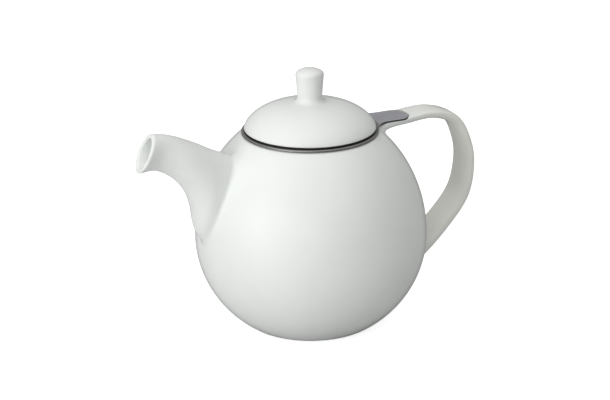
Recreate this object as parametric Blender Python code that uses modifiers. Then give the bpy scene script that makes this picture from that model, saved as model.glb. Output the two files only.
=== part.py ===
"""Teapot with a lift-out infuser basket and a knobbed lid.

Frame: metres, +Z up. The origin is the centre of the foot on the table. The spout points
towards -X and the handle towards +X. Everything but the spout, the handle and the infuser's
tongue is turned about the Z axis.
"""

import math

import bmesh
import bpy
from mathutils import Vector

MM = 0.001
GAP = 0.3 * MM
OVERCUT = 6.0 * MM
MERGE_DISTANCE = 0.01 * MM
CREASE_ANGLE = 40.0

# Pot body: half an ellipsoid above the belly line and half a flatter one below it.
BELLY_RADIUS = 60.1 * MM
BELLY_Z = 47.2 * MM
SHOULDER_RISE = 67.6 * MM
BASE_DROP = 56.5 * MM
WALL = 4.0 * MM
FLOOR_Z = 5.5 * MM
FLOOR_RADIUS = 30.0 * MM
MOUTH_Z = 102.3 * MM
MOUTH_BORE = 31.9 * MM
EDGE_SOFTENING = 0.5 * MM
FOOT_OUTER = 31.6 * MM
FOOT_INNER = 26.0 * MM
FOOT_RECESS = 2.0 * MM
FOOT_SLOPE = 1.2 * MM
FOOT_ROUND_OUT = 0.9 * MM
FOOT_ROUND_UP = 0.4 * MM
SIDE_UNDER_Z = 1.4 * MM
CAVITY_MARGIN = 1.5 * MM
SLOPE_STEP = 0.1 * MM
BODY_STEPS = 44
BODY_BANDS = 15
CAVITY_BANDS = 9

# Spout: sections from the root, inside the pot's wall, to the mouth. Each row is the top point
# (x, z), the underside point (x, z) and the half width.
SPOUT_SECTIONS = [
    (-40.0, 94.0, -54.8, 45.8, 11.2),
    (-48.9, 98.4, -63.6, 58.0, 12.4),
    (-54.5, 101.0, -65.6, 70.0, 12.0),
    (-61.0, 104.6, -68.6, 79.6, 10.7),
    (-67.0, 107.6, -73.2, 86.6, 9.3),
    (-73.0, 110.3, -79.0, 91.6, 7.6),
    (-79.3, 112.3, -85.7, 94.6, 6.7),
    (-85.5, 113.3, -94.2, 94.2, 7.9),
]
SPOUT_POINTS = 24
SPOUT_WALL_ROOT = 3.6 * MM
SPOUT_WALL_MOUTH = 2.5 * MM

# Handle: stations along the strap from the mouth of the pot, over the top and down to the belly.
# Each row is the strap's widest line (x, z), the half width, the depth outwards and inwards.
HANDLE_STATIONS = [
    (33.0, 99.9, 9.6, 1.2, 4.6),
    (42.5, 102.4, 8.8, 1.1, 3.9),
    (53.0, 103.5, 8.3, 1.2, 4.0),
    (68.5, 104.1, 7.8, 1.7, 3.7),
    (81.6, 99.3, 8.1, 2.1, 3.5),
    (88.2, 88.2, 8.6, 2.4, 3.7),
    (90.9, 74.0, 9.0, 2.6, 3.9),
    (87.4, 56.3, 9.5, 2.8, 4.0),
    (74.8, 40.4, 9.8, 2.9, 4.2),
    (58.9, 25.9, 9.8, 2.7, 4.2),
    (44.0, 16.8, 9.8, 1.5, 3.4),
]
HANDLE_POINTS = 16
HANDLE_RINGS_PER_STATION = 3
HANDLE_OUTER_POWER = 3.0
HANDLE_INNER_POWER = 2.2

# Infuser: a rolled steel rim with a lifting tongue, a perforated sleeve and a perforated floor.
SHEET = 0.6 * MM
RIM_RADIUS = 35.1 * MM
RIM_TOP_Z = 103.5 * MM
RIM_UNDER_Z = MOUTH_Z + GAP
COLLAR_RADIUS = 31.4 * MM
COLLAR_UNDER_Z = 99.5 * MM
RIM_STEPS = 48
TONGUE_TOP_Z = 104.35 * MM
TONGUE_THICKNESS = 1.2 * MM
TONGUE_ROOT_X = 31.0 * MM
TONGUE_SINK = 0.1 * MM
TONGUE_TIP_X = 54.6 * MM
TONGUE_HALF_WIDTH = 8.2 * MM
TONGUE_FLARE = 7.0 * MM
TONGUE_FLARE_SINK = 2.0 * MM
TONGUE_TIP_FLAT = 2.4 * MM
TONGUE_CLEARANCE = 0.4 * MM
SLEEVE_RADIUS = COLLAR_RADIUS - SHEET - GAP
SLEEVE_SHEET = 0.5 * MM
SLEEVE_TOP_Z = 103.2 * MM
SLEEVE_UNDER_Z = 38.0 * MM
SLEEVE_STEPS = 36
SLEEVE_COLUMNS = 18
SLEEVE_ROWS = 4
SLEEVE_FIRST_ROW_Z = 47.0 * MM
SLEEVE_ROW_PITCH = 11.0 * MM
SLEEVE_HOLE_RADIUS = 1.7 * MM
FLOOR_DISC_RADIUS = SLEEVE_RADIUS - SLEEVE_SHEET - GAP
FLOOR_DISC_Z = 38.2 * MM
FLOOR_UPSTAND = 3.0 * MM
FLOOR_HOLE_RADIUS = 1.7 * MM
FLOOR_HOLE_PITCH = 9.0 * MM
FLOOR_HOLE_RINGS = 2

# Lid: a flattened dome over a locating skirt, and a tapered knob.
LID_RADIUS = 33.67 * MM
LID_EDGE_Z = 104.95 * MM
LID_RISE = 13.41 * MM
LID_RADIAL_POWER = 2.6
LID_RISE_POWER = 1.48
LID_SEAT_Z = RIM_TOP_Z + GAP
LID_SEAT_RADIUS = 31.6 * MM
LID_WALL = 3.6 * MM
LID_LIP = 0.6 * MM
SKIRT_RADIUS = 29.6 * MM
SKIRT_WALL = 3.2 * MM
SKIRT_UNDER_Z = 96.5 * MM
LID_STEPS = 44
LID_BANDS = 6
KNOB_FILLET = 2.9 * MM
KNOB_NECK_RADIUS = 6.3 * MM
KNOB_RADIUS = 7.2 * MM
KNOB_SHOULDER_Z = 131.8 * MM
KNOB_CORNER = 2.0 * MM
KNOB_TOP_Z = 135.6 * MM
KNOB_CROWN_SHARE = 0.4
KNOB_CROWN_DROP = 0.35 * MM
KNOB_STEPS = 28

GLAZE_COLOUR = (0.80, 0.82, 0.80)
GLAZE_ROUGHNESS = 0.32
STEEL_COLOUR = (0.42, 0.42, 0.43)
STEEL_ROUGHNESS = 0.36


# ---------------------------------------------------------------- scene helpers


def clear_scene():
    for old in list(bpy.data.objects):
        bpy.data.objects.remove(old, do_unlink=True)


def new_collection(name):
    collection = bpy.data.collections.new(name)
    bpy.context.scene.collection.children.link(collection)
    return collection


def principled(name, colour, roughness, metallic):
    material = bpy.data.materials.new(name)
    material.use_nodes = True
    shader = material.node_tree.nodes["Principled BSDF"]
    shader.inputs["Base Color"].default_value = (*colour, 1.0)
    shader.inputs["Roughness"].default_value = roughness
    shader.inputs["Metallic"].default_value = metallic
    return material


def make_glaze(name):
    return principled(name, GLAZE_COLOUR, GLAZE_ROUGHNESS, 0.0)


def make_steel(name):
    return principled(name, STEEL_COLOUR, STEEL_ROUGHNESS, 1.0)


def place(name, mesh, collection, material=None):
    obj = bpy.data.objects.new(name, mesh)
    collection.objects.link(obj)
    if material:
        mesh.materials.append(material)
    return obj


def mark_as_cutter(obj):
    obj.hide_render = True
    obj.display_type = "WIRE"
    return obj


def boolean(obj, cutter, operation="DIFFERENCE"):
    modifier = obj.modifiers.new(operation.title(), "BOOLEAN")
    modifier.operation = operation
    modifier.solver = "EXACT"
    modifier.object = cutter


def turn(name, outline, steps, collection, material=None):
    """Turn an outline of (radius, z) points about the Z axis."""
    closed = outline[0] == outline[-1]
    points = outline[:-1] if closed else outline
    count = len(points)
    edges = [(i, i + 1) for i in range(count - 1)]
    if closed:
        edges.append((count - 1, 0))
    mesh = bpy.data.meshes.new(name)
    mesh.from_pydata([(r, 0.0, z) for r, z in points], edges, [])
    obj = place(name, mesh, collection, material)
    screw = obj.modifiers.new("Turn", "SCREW")
    screw.axis = "Z"
    screw.steps = steps
    screw.render_steps = steps
    screw.use_merge_vertices = True
    screw.merge_threshold = MERGE_DISTANCE
    screw.use_smooth_shade = True
    return obj


def loft(name, rings, collection, material=None):
    """Skin a row of closed rings that have the same number of points, and cap both ends."""
    mesh = bpy.data.meshes.new(name)
    shape = bmesh.new()
    rows = [[shape.verts.new(point) for point in ring] for ring in rings]
    for near, far in zip(rows, rows[1:]):
        for i in range(len(near)):
            j = (i + 1) % len(near)
            shape.faces.new((near[i], near[j], far[j], far[i]))
    shape.faces.new(rows[0])
    shape.faces.new(rows[-1])
    bmesh.ops.recalc_face_normals(shape, faces=shape.faces)
    shape.to_mesh(mesh)
    shape.free()
    mesh.shade_smooth()
    mesh.set_sharp_from_angle(angle=math.radians(CREASE_ANGLE))
    return place(name, mesh, collection, material)


def arc(centre, radius, start, end, count):
    """Points (r, z) on an arc, angles in degrees from the +r direction towards +z."""
    points = []
    for i in range(count + 1):
        angle = math.radians(start + (end - start) * i / count)
        points.append((centre[0] + radius * math.cos(angle), centre[1] + radius * math.sin(angle)))
    return points


def spline(rows, per_span):
    """A smooth curve through rows of numbers (Catmull-Rom), row by row."""
    result = []
    for i in range(len(rows) - 1):
        before = rows[max(i - 1, 0)]
        after = rows[min(i + 2, len(rows) - 1)]
        for k in range(per_span):
            t = k / per_span
            result.append([
                0.5 * (2 * b + (c - a) * t + (2 * a - 5 * b + 4 * c - d) * t * t
                       + (3 * b - a - 3 * c + d) * t ** 3)
                for a, b, c, d in zip(before, rows[i], rows[i + 1], after)
            ])
    result.append(list(rows[-1]))
    return result


def signed_power(value, power):
    return math.copysign(abs(value) ** power, value)


# ---------------------------------------------------------------- pot body


def body_radius(z, inset=0.0):
    """Radius of the pot's outer surface at height z, or of one a given depth inside it."""
    half_height = SHOULDER_RISE if z >= BELLY_Z else BASE_DROP
    share = (z - BELLY_Z) / (half_height - inset)
    return (BELLY_RADIUS - inset) * math.sqrt(max(0.0, 1.0 - share * share))


def body_levels(low, high, bands):
    """Heights from high to low, closer together towards both ends, where the wall slopes."""
    middle = (low + high) / 2
    half = (high - low) / 2
    return [middle + half * math.sin(math.pi * (0.5 - i / bands)) for i in range(bands + 1)]


def body_side(offset=0.0):
    """The pot's outer side from mouth to foot, moved outwards by an offset."""
    points = []
    for z in body_levels(SIDE_UNDER_Z, MOUTH_Z - EDGE_SOFTENING, BODY_BANDS):
        slope = (body_radius(z + SLOPE_STEP) - body_radius(z - SLOPE_STEP)) / (2 * SLOPE_STEP)
        points.append((body_radius(z) + offset * math.sqrt(1 + slope * slope), z))
    return points


def pot_outline():
    cavity = body_levels(FLOOR_Z + CAVITY_MARGIN, MOUTH_Z - CAVITY_MARGIN, CAVITY_BANDS)
    inner = [(max(body_radius(z, WALL), MOUTH_BORE), z) for z in reversed(cavity)]
    mouth = [
        (MOUTH_BORE, MOUTH_Z - EDGE_SOFTENING),
        (MOUTH_BORE + EDGE_SOFTENING, MOUTH_Z),
        (body_radius(MOUTH_Z) - EDGE_SOFTENING, MOUTH_Z),
    ]
    foot = [
        (FOOT_OUTER + FOOT_ROUND_OUT, FOOT_ROUND_UP),
        (FOOT_OUTER, 0.0),
        (FOOT_INNER, 0.0),
        (FOOT_INNER - FOOT_SLOPE, FOOT_RECESS),
        (0.0, FOOT_RECESS),
    ]
    return [(0.0, FLOOR_Z), (FLOOR_RADIUS, FLOOR_Z)] + inner + mouth + body_side() + foot


def make_pot_body(parts, glaze, channel):
    body = turn("pot_body", pot_outline(), BODY_STEPS, parts, glaze)
    boolean(body, channel)
    return body


def make_body_cutter(cutters):
    """The room that the pot and the infuser's rim take: trims the spout and the handle."""
    side = body_side(GAP)
    clear = RIM_RADIUS + TONGUE_CLEARANCE
    top_z = KNOB_TOP_Z
    outline = [(0.0, top_z), (clear, top_z), (clear, MOUTH_Z + GAP)]
    outline += side + [(side[-1][0], -OVERCUT), (0.0, -OVERCUT)]
    return mark_as_cutter(turn("body_room", outline, BODY_STEPS, cutters))


# ---------------------------------------------------------------- spout


def spout_ring(section, inset=0.0, shift=0.0):
    """An oval ring in the plane that holds a section's top and underside points."""
    top = Vector((section[0], 0.0, section[1])) * MM
    low = Vector((section[2], 0.0, section[3])) * MM
    centre = (top + low) / 2
    half_height = (top - low).length / 2 - inset
    half_width = section[4] * MM - inset
    upward = (top - low).normalized()
    outward = Vector((-upward.z, 0.0, upward.x))
    ring = []
    for i in range(SPOUT_POINTS):
        angle = 2 * math.pi * i / SPOUT_POINTS
        point = centre + upward * half_height * math.cos(angle)
        point += Vector((0.0, half_width * math.sin(angle), 0.0))
        ring.append(point + outward * shift)
    return ring


def make_spout_channel(cutters):
    """The pouring channel: it opens the pot's wall and runs out through the mouth."""
    last = len(SPOUT_SECTIONS) - 1
    rings = []
    for i, section in enumerate(SPOUT_SECTIONS):
        inset = SPOUT_WALL_ROOT + (SPOUT_WALL_MOUTH - SPOUT_WALL_ROOT) * i / last
        if i == 0:
            rings.append(spout_ring(section, inset, -OVERCUT))
        rings.append(spout_ring(section, inset))
    rings.append(spout_ring(SPOUT_SECTIONS[-1], SPOUT_WALL_MOUTH, OVERCUT))
    return mark_as_cutter(loft("spout_channel", rings, cutters))


def make_spout(parts, glaze, body_room, channel):
    rings = [spout_ring(section) for section in spline(SPOUT_SECTIONS, 2)]
    spout = loft("spout", rings, parts, glaze)
    boolean(spout, body_room)
    boolean(spout, channel)
    return spout


# ---------------------------------------------------------------- handle


def handle_ring(station, tangent):
    """A flattened oval across the strap: nearly flat outside, rounder towards the fingers."""
    outward = Vector((-tangent.z, 0.0, tangent.x))
    centre = Vector((station[0], 0.0, station[1])) * MM
    ring = []
    for i in range(HANDLE_POINTS):
        angle = 2 * math.pi * i / HANDLE_POINTS
        across = math.cos(angle)
        through = math.sin(angle)
        power = HANDLE_OUTER_POWER if through > 0 else HANDLE_INNER_POWER
        depth = station[3] if through > 0 else station[4]
        y = station[2] * MM * signed_power(across, 2 / power)
        n = depth * MM * signed_power(through, 2 / power)
        ring.append(centre + Vector((0.0, y, 0.0)) + outward * n)
    return ring


def make_handle(parts, glaze, body_room, tongue_room):
    stations = spline(HANDLE_STATIONS, HANDLE_RINGS_PER_STATION)
    rings = []
    for i, station in enumerate(stations):
        before = stations[max(i - 1, 0)]
        after = stations[min(i + 1, len(stations) - 1)]
        tangent = Vector((after[0] - before[0], 0.0, after[1] - before[1])).normalized()
        rings.append(handle_ring(station, tangent))
    handle = loft("handle", rings, parts, glaze)
    boolean(handle, body_room)
    boolean(handle, tongue_room)
    return handle


# ---------------------------------------------------------------- infuser


def tongue_outline(grow=0.0):
    """Half of the tongue seen from above: a flare off the ring, a straight side, a round tip."""
    half_width = TONGUE_HALF_WIDTH + grow
    flare_x = RIM_RADIUS + TONGUE_FLARE - TONGUE_FLARE_SINK
    flare = arc((flare_x, half_width + TONGUE_FLARE), TONGUE_FLARE, 205, 270, 4)
    tip_radius = half_width - TONGUE_TIP_FLAT
    tip_centre = (TONGUE_TIP_X + grow - tip_radius, TONGUE_TIP_FLAT)
    tip = arc(tip_centre, tip_radius, 90, 0, 5)
    root = [(TONGUE_ROOT_X, flare[0][1])]
    return root + flare + tip


def tongue_plate(name, grow, low_z, high_z, collection):
    """A flat plate with the tongue's outline, as a filled 2D curve given its thickness."""
    half = tongue_outline(grow)
    outline = half + [(x, -y) for x, y in reversed(half)]
    curve = bpy.data.curves.new(name + "_outline", "CURVE")
    curve.dimensions = "2D"
    curve.fill_mode = "BOTH"
    curve.extrude = (high_z - low_z) / 2
    line = curve.splines.new("POLY")
    line.points.add(len(outline) - 1)
    for point, (x, y) in zip(line.points, outline):
        point.co = (x, y, 0.0, 1.0)
    line.use_cyclic_u = True
    flat = place(name + "_flat", curve, collection)
    flat.location.z = (high_z + low_z) / 2
    bpy.context.view_layer.update()
    evaluated = flat.evaluated_get(bpy.context.evaluated_depsgraph_get())
    mesh = bpy.data.meshes.new_from_object(evaluated)
    mesh.transform(flat.matrix_world)
    bpy.data.objects.remove(flat, do_unlink=True)
    shape = bmesh.new()
    shape.from_mesh(mesh)
    bmesh.ops.remove_doubles(shape, verts=shape.verts, dist=MERGE_DISTANCE)
    bmesh.ops.recalc_face_normals(shape, faces=shape.faces)
    shape.to_mesh(mesh)
    shape.free()
    return mark_as_cutter(place(name, mesh, collection))


def rim_outline():
    """The rolled rim: a skirt outside, a flat top and a collar that hangs in the pot's mouth."""
    roll = EDGE_SOFTENING
    skirt_inside = RIM_RADIUS - SHEET
    plate_under = RIM_TOP_Z - SHEET
    collar_inside = COLLAR_RADIUS - SHEET
    return [
        (RIM_RADIUS - roll, RIM_TOP_Z),
        (RIM_RADIUS, RIM_TOP_Z - roll),
        (RIM_RADIUS, RIM_UNDER_Z),
        (skirt_inside, RIM_UNDER_Z),
        (skirt_inside, plate_under),
        (COLLAR_RADIUS, plate_under),
        (COLLAR_RADIUS, COLLAR_UNDER_Z),
        (collar_inside, COLLAR_UNDER_Z),
        (collar_inside, RIM_TOP_Z - roll),
        (collar_inside + roll, RIM_TOP_Z),
        (RIM_RADIUS - roll, RIM_TOP_Z),
    ]


def make_lid_room(cutters):
    """The room that the lid's edge needs above the rim, where the tongue steps up outside it."""
    radius = LID_RADIUS + GAP
    low_z = RIM_TOP_Z - TONGUE_SINK
    outline = [(0.0, KNOB_TOP_Z), (radius, KNOB_TOP_Z), (radius, low_z), (0.0, low_z)]
    return mark_as_cutter(turn("lid_room", outline, RIM_STEPS, cutters))


def make_infuser_rim(parts, cutters, steel, tongue):
    rim = turn("infuser_rim", rim_outline(), RIM_STEPS, parts, steel)
    boolean(tongue, make_lid_room(cutters))
    boolean(rim, tongue, "UNION")
    return rim


def add_pin(shape, centre, axis, radius, length):
    """Add a six-sided pin to a mesh, for cutting one hole."""
    turn_to_axis = Vector((0.0, 0.0, 1.0)).rotation_difference(axis).to_matrix().to_4x4()
    made = bmesh.ops.create_cone(
        shape, cap_ends=True, segments=6, radius1=radius, radius2=radius, depth=length)
    bmesh.ops.transform(shape, matrix=turn_to_axis, verts=made["verts"])
    bmesh.ops.translate(shape, vec=centre, verts=made["verts"])


def make_pins(name, places, radius, length, collection):
    shape = bmesh.new()
    for centre, axis in places:
        add_pin(shape, centre, axis, radius, length)
    mesh = bpy.data.meshes.new(name)
    shape.to_mesh(mesh)
    shape.free()
    return mark_as_cutter(place(name, mesh, collection))


def sleeve_hole_places():
    """One hole on every second flat of the sleeve, staggered from row to row."""
    places = []
    flat = 2 * math.pi / SLEEVE_STEPS
    for row in range(SLEEVE_ROWS):
        z = SLEEVE_FIRST_ROW_Z + row * SLEEVE_ROW_PITCH
        for column in range(SLEEVE_COLUMNS):
            angle = flat * (2 * column + 0.5 + row % 2)
            axis = Vector((math.cos(angle), math.sin(angle), 0.0))
            places.append((axis * SLEEVE_RADIUS + Vector((0.0, 0.0, z)), axis))
    return places


def make_infuser_sleeve(parts, cutters, steel):
    inside = SLEEVE_RADIUS - SLEEVE_SHEET
    outline = [
        (SLEEVE_RADIUS, SLEEVE_TOP_Z),
        (SLEEVE_RADIUS, SLEEVE_UNDER_Z),
        (inside, SLEEVE_UNDER_Z),
        (inside, SLEEVE_TOP_Z),
        (SLEEVE_RADIUS, SLEEVE_TOP_Z),
    ]
    sleeve = turn("infuser_sleeve", outline, SLEEVE_STEPS, parts, steel)
    pins = make_pins("sleeve_pins", sleeve_hole_places(), SLEEVE_HOLE_RADIUS, OVERCUT, cutters)
    boolean(sleeve, pins)
    return sleeve


def floor_hole_places():
    """A triangular grid of holes: one in the middle, then rings of six, twelve and so on."""
    up = Vector((0.0, 0.0, 1.0))
    places = []
    for a in range(-FLOOR_HOLE_RINGS, FLOOR_HOLE_RINGS + 1):
        for b in range(-FLOOR_HOLE_RINGS, FLOOR_HOLE_RINGS + 1):
            if abs(a + b) > FLOOR_HOLE_RINGS:
                continue
            x = FLOOR_HOLE_PITCH * (a + b / 2)
            y = FLOOR_HOLE_PITCH * b * math.sqrt(3) / 2
            places.append((Vector((x, y, FLOOR_DISC_Z)), up))
    return places


def make_infuser_floor(parts, cutters, steel):
    """A shallow dish pressed into the end of the sleeve."""
    top_z = FLOOR_DISC_Z + FLOOR_UPSTAND
    inside = FLOOR_DISC_RADIUS - SLEEVE_SHEET
    outline = [
        (0.0, FLOOR_DISC_Z + SLEEVE_SHEET),
        (inside, FLOOR_DISC_Z + SLEEVE_SHEET),
        (inside, top_z),
        (FLOOR_DISC_RADIUS, top_z),
        (FLOOR_DISC_RADIUS, FLOOR_DISC_Z),
        (0.0, FLOOR_DISC_Z),
    ]
    floor = turn("infuser_floor", outline, SLEEVE_STEPS, parts, steel)
    pins = make_pins("floor_pins", floor_hole_places(), FLOOR_HOLE_RADIUS, OVERCUT, cutters)
    boolean(floor, pins)
    return floor


# ---------------------------------------------------------------- lid


def lid_height(radius, inset=0.0):
    """Height of the lid's dome at a radius, or of a surface a given depth inside it."""
    share = min(1.0, radius / (LID_RADIUS - inset))
    rise = (LID_RISE - inset) * (1.0 - share ** LID_RADIAL_POWER) ** (1.0 / LID_RISE_POWER)
    return LID_EDGE_Z + rise


def lid_outline():
    bore = SKIRT_RADIUS - SKIRT_WALL
    inner = [(bore * i / LID_BANDS, lid_height(bore * i / LID_BANDS, LID_WALL))
             for i in range(LID_BANDS)]
    skirt = [
        (bore, SKIRT_UNDER_Z + EDGE_SOFTENING),
        (bore + EDGE_SOFTENING, SKIRT_UNDER_Z),
        (SKIRT_RADIUS - EDGE_SOFTENING, SKIRT_UNDER_Z),
        (SKIRT_RADIUS, SKIRT_UNDER_Z + EDGE_SOFTENING),
        (SKIRT_RADIUS, LID_SEAT_Z),
        (LID_SEAT_RADIUS, LID_SEAT_Z),
        (LID_RADIUS - LID_LIP, LID_SEAT_Z + LID_LIP),
    ]
    dome = []
    for i in range(LID_BANDS * 2 + 1):
        radius = LID_RADIUS * math.cos(math.pi / 2 * i / (LID_BANDS * 2))
        dome.append((radius if i < LID_BANDS * 2 else 0.0, lid_height(radius)))
    outline = inner + skirt + dome
    return list(reversed(outline))


def make_lid_dome(parts, glaze):
    return turn("lid_dome", lid_outline(), LID_STEPS, parts, glaze)


def knob_outline():
    """From the crown down the side, round the fillet and back under, along the dome."""
    corner_centre = (KNOB_RADIUS - KNOB_CORNER, KNOB_SHOULDER_Z)
    corner = arc(corner_centre, KNOB_CORNER, 65, 0, 3)
    foot_radius = KNOB_NECK_RADIUS + KNOB_FILLET
    foot_z = lid_height(foot_radius) + GAP
    fillet_centre = (foot_radius, foot_z + GAP + KNOB_FILLET)
    fillet = arc(fillet_centre, KNOB_FILLET, 180, 265, 4)
    under = [(foot_radius, foot_z), (foot_radius / 2, lid_height(foot_radius / 2) + GAP)]
    crown = [(0.0, KNOB_TOP_Z), (KNOB_RADIUS * KNOB_CROWN_SHARE, KNOB_TOP_Z - KNOB_CROWN_DROP)]
    return crown + corner + fillet + under + [(0.0, lid_height(0.0) + GAP)]


def make_lid_knob(parts, glaze):
    return turn("lid_knob", knob_outline(), KNOB_STEPS, parts, glaze)


# ---------------------------------------------------------------- assembly


def build():
    clear_scene()
    parts = new_collection("teapot_infuser")
    cutters = new_collection("cutters")
    channel = make_spout_channel(cutters)
    body_room = make_body_cutter(cutters)
    tongue_low = TONGUE_TOP_Z - TONGUE_THICKNESS
    tongue = tongue_plate("tongue", 0.0, tongue_low, TONGUE_TOP_Z, cutters)
    tongue_room = tongue_plate(
        "tongue_room", TONGUE_CLEARANCE, tongue_low - GAP, KNOB_TOP_Z, cutters)

    make_pot_body(parts, make_glaze("body_glaze"), channel)
    make_spout(parts, make_glaze("spout_glaze"), body_room, channel)
    make_handle(parts, make_glaze("handle_glaze"), body_room, tongue_room)
    make_infuser_rim(parts, cutters, make_steel("rim_steel"), tongue)
    make_infuser_sleeve(parts, cutters, make_steel("sleeve_steel"))
    make_infuser_floor(parts, cutters, make_steel("floor_steel"))
    make_lid_dome(parts, make_glaze("lid_glaze"))
    make_lid_knob(parts, make_glaze("knob_glaze"))


build()
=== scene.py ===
"""Looks for the teapot with a lift-out infuser: glazed skin, steel infuser, lid, light, camera.

Lengths in this script are in millimetres in the CAD frame, and meshes are made in metres.
The spout points towards -X, the handle towards +X, and the foot stands on z = 0.
"""

import math

import bpy
import numpy as np
from mathutils import Matrix, Vector


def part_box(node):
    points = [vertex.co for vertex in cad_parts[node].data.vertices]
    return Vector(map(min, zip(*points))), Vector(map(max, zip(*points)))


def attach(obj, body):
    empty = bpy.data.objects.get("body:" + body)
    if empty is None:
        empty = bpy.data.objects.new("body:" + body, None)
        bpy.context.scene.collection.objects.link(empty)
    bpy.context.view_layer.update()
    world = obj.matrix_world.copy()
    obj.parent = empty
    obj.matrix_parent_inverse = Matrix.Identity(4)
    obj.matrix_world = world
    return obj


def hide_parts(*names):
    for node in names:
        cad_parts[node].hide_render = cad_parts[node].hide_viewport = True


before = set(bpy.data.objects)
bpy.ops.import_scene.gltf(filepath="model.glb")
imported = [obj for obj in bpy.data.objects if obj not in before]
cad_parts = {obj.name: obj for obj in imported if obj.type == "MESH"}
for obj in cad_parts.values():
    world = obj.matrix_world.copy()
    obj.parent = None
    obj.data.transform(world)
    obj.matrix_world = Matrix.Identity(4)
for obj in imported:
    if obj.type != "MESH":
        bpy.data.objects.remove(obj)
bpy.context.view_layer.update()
METRES = 0.001


def cad_top(node):
    """Height of a CAD node's top."""
    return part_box(node)[1].z / METRES


def cad_reach(node):
    """How far a CAD node reaches from the pot's axis, towards its back."""
    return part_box(node)[1].y / METRES


# ------------------------------------------------------------------ sizes, from the CAD frame

BELLY_RADIUS = cad_reach("pot_body")
BELLY_Z = 47.2
SHOULDER_RISE = 67.6
BASE_DROP = 56.5
WALL = 4.0
MOUTH_Z = cad_top("pot_body")
MOUTH_BORE = 31.9
FLOOR_Z = 5.5
FLOOR_CORNER_ROUND = 4.0
MOUTH_CORNER_ROUND = 0.6
MOUTH_BORE_LOW_Z = 80.0
FOOT_INNER = 26.0
FOOT_RECESS = 2.0
FOOT_RECESS_TAPER = 0.6
FOOT_RECESS_ROUND = 0.7
FOOT_EDGE_ROUND = 1.6

RIM_RADIUS = cad_reach("infuser_rim")
TONGUE_TOP_Z = cad_top("infuser_rim")
RIM_TOP_Z = 103.5
RIM_UNDER_Z = MOUTH_Z + 0.3
RIM_EDGE_ROUND = 0.45
SHEET = 0.6
SHEET_EDGE_ROUND = 0.15
COLLAR_RADIUS = 31.4
COLLAR_WIDTH = 1.5
COLLAR_UNDER_Z = 99.5
COLLAR_EDGE_ROUND = 0.25
TONGUE_TIP_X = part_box("infuser_rim")[1].x / METRES
TONGUE_ROOT_X = 20.0
TONGUE_HALF_WIDTH = 8.2
TONGUE_CORNER = 5.8
TONGUE_FLARE = 7.0
TONGUE_UNDER_Z = TONGUE_TOP_Z - 0.9
TONGUE_EDGE_ROUND = 0.25
TONGUE_RISE_FROM = 33.9
TONGUE_RISE_TO = 35.6
TONGUE_RISE_BLEND = 8.0
TONGUE_GROOVE_GAP = 0.2
RELIEF_Z = TONGUE_TOP_Z - 1.1
RELIEF_ROOM = 0.4
RELIEF_EDGE_ROUND = 0.25

SLEEVE_RADIUS = cad_reach("infuser_sleeve")
SLEEVE_SHEET = 0.5
SLEEVE_TOP_Z = cad_top("infuser_sleeve")
SLEEVE_UNDER_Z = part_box("infuser_sleeve")[0].z / METRES
SLEEVE_PLAIN_LOW = 5.2
SLEEVE_PLAIN_HIGH = 7.0
SLEEVE_COLUMNS = 68
SLEEVE_ROW_PITCH = 2.5
HOLE_RADIUS = 0.72
FLOOR_DISC_RADIUS = cad_reach("infuser_floor")
FLOOR_DISC_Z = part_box("infuser_floor")[0].z / METRES
FLOOR_DISC_TOP_Z = cad_top("infuser_floor")
FLOOR_DISC_ROUND = 0.9
FLOOR_DISH_ROUND = 0.5
FLOOR_EDGE_ROUND = 0.12
FLOOR_HOLE_PITCH = 2.6
FLOOR_HOLE_ROUND = 0.08
FLOOR_PLAIN_BORDER = 3.2

LID_RADIUS = 33.67
LID_EDGE_Z = 104.95
LID_RISE = 13.41
LID_RADIAL_POWER = 2.6
LID_RISE_POWER = 1.48
LID_SEAT_Z = RIM_TOP_Z + 0.3
LID_SEAT_RADIUS = 31.2
LID_LIP_ROUND = 0.5
LID_WALL = 3.6
LID_DOME_STEPS = 40
LID_INSIDE_STEPS = 24
LID_TURN_STEPS = 160
SKIRT_RADIUS = 29.6
SKIRT_WALL = 3.2
SKIRT_ROUND = 1.3
SKIRT_UNDER_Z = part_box("lid_dome")[0].z / METRES
KNOB_NECK_RADIUS = 6.3
KNOB_RADIUS = 7.2
KNOB_SHOULDER_Z = 131.8
KNOB_SHOULDER_ROUND = 2.2
KNOB_FOOT_FILLET = 3.1
KNOB_TOP_Z = cad_top("lid_knob")

# Spout sections from root to mouth: top point (x, z), underside point (x, z), half width.
SPOUT_SECTIONS = [
    (-31.0, 89.5, -44.0, 35.5, 10.0),
    (-40.0, 94.0, -54.8, 45.8, 11.2),
    (-48.9, 98.4, -63.6, 58.0, 12.4),
    (-54.5, 101.0, -65.6, 70.0, 12.0),
    (-61.0, 104.6, -68.6, 79.6, 10.7),
    (-67.0, 107.6, -73.2, 86.6, 9.3),
    (-73.0, 110.3, -79.0, 91.6, 7.6),
    (-79.3, 112.3, -85.7, 94.6, 6.7),
    (-85.5, 113.3, -94.2, 94.2, 7.9),
]
SPOUT_STEPS = 20
SPOUT_WALL_ROOT = 5.0
SPOUT_WALL_MOUTH = 2.5
SPOUT_CHANNEL_OVERRUN = 8.0
SPOUT_CHANNEL_FILLET = 2.0

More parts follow.
